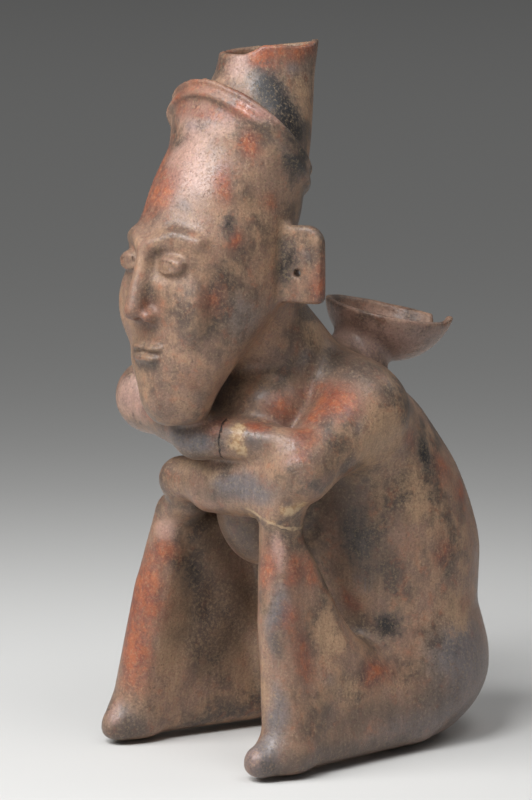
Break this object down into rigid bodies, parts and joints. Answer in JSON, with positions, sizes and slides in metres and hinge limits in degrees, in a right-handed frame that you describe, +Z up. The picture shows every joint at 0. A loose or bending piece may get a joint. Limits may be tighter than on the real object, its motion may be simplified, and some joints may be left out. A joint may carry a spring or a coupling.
{
  "type": "seated figure",
  "caption": "Hollow squatting figure with arms folded on raised knees, a tall head opening into a broad tubular spout with a flaring brim, and a small dish on its back.",
  "frame": {"origin": "middle of the footprint's bounding box, on the floor", "axes": "+Z up, the figure faces -Y, +X is the figure's left side"},
  "size_m": [0.1548, 0.2426, 0.4026],
  "materials": {
    "burnished_clay": "slip painted, burnished, semi-gloss, mottled brown, orange red and black"
  },
  "bodies": {
    "root": {"seated_figure": "burnished_clay"}
  },
  "joints": []
}
